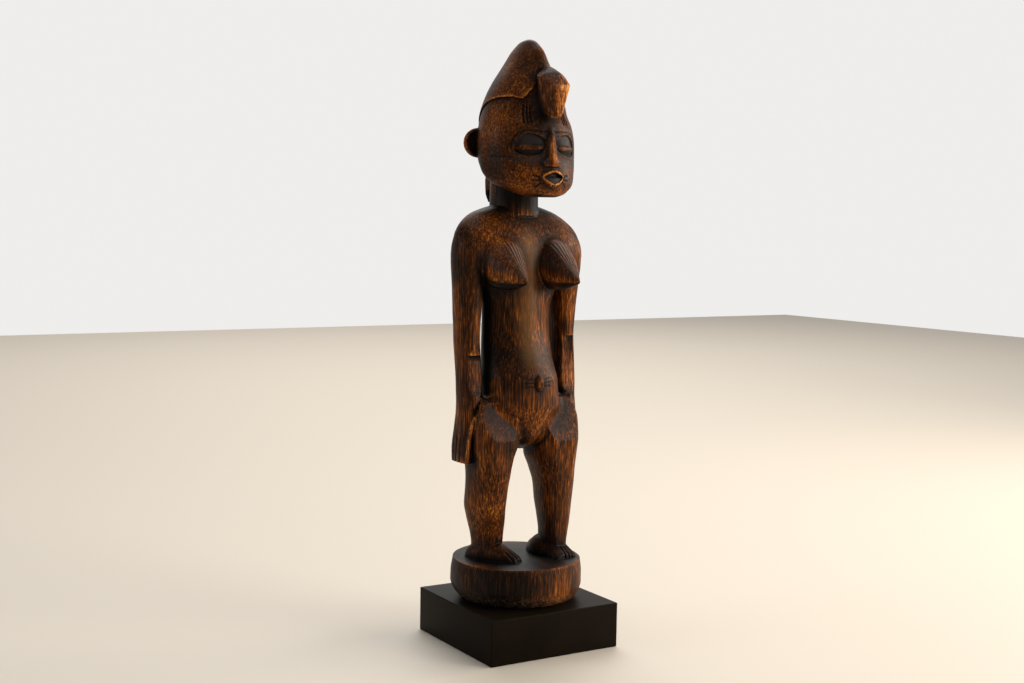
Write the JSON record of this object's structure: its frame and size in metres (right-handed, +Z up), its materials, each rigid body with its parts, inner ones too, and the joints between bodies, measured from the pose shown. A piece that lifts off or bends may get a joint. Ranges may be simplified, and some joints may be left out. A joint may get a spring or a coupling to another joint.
{
  "type": "senufo standing figure",
  "caption": "Carved wooden standing female figure with a crested hairdo, on its own round base, resting on a square painted plinth.",
  "frame": {"origin": "middle of the plinth's underside, on the surface the part stands on", "axes": "+Z up; the figure faces -Y; +X is towards the figure's left hand"},
  "size_m": [0.1524, 0.1524, 0.6263],
  "materials": {
    "figure_wood": "dark hand-waxed patina, semi-gloss, worn to orange-brown on raised parts",
    "plinth_paint": "satin black paint"
  },
  "bodies": {
    "root": {"carved_figure": "figure_wood", "square_plinth": "plinth_paint"}
  },
  "joints": []
}
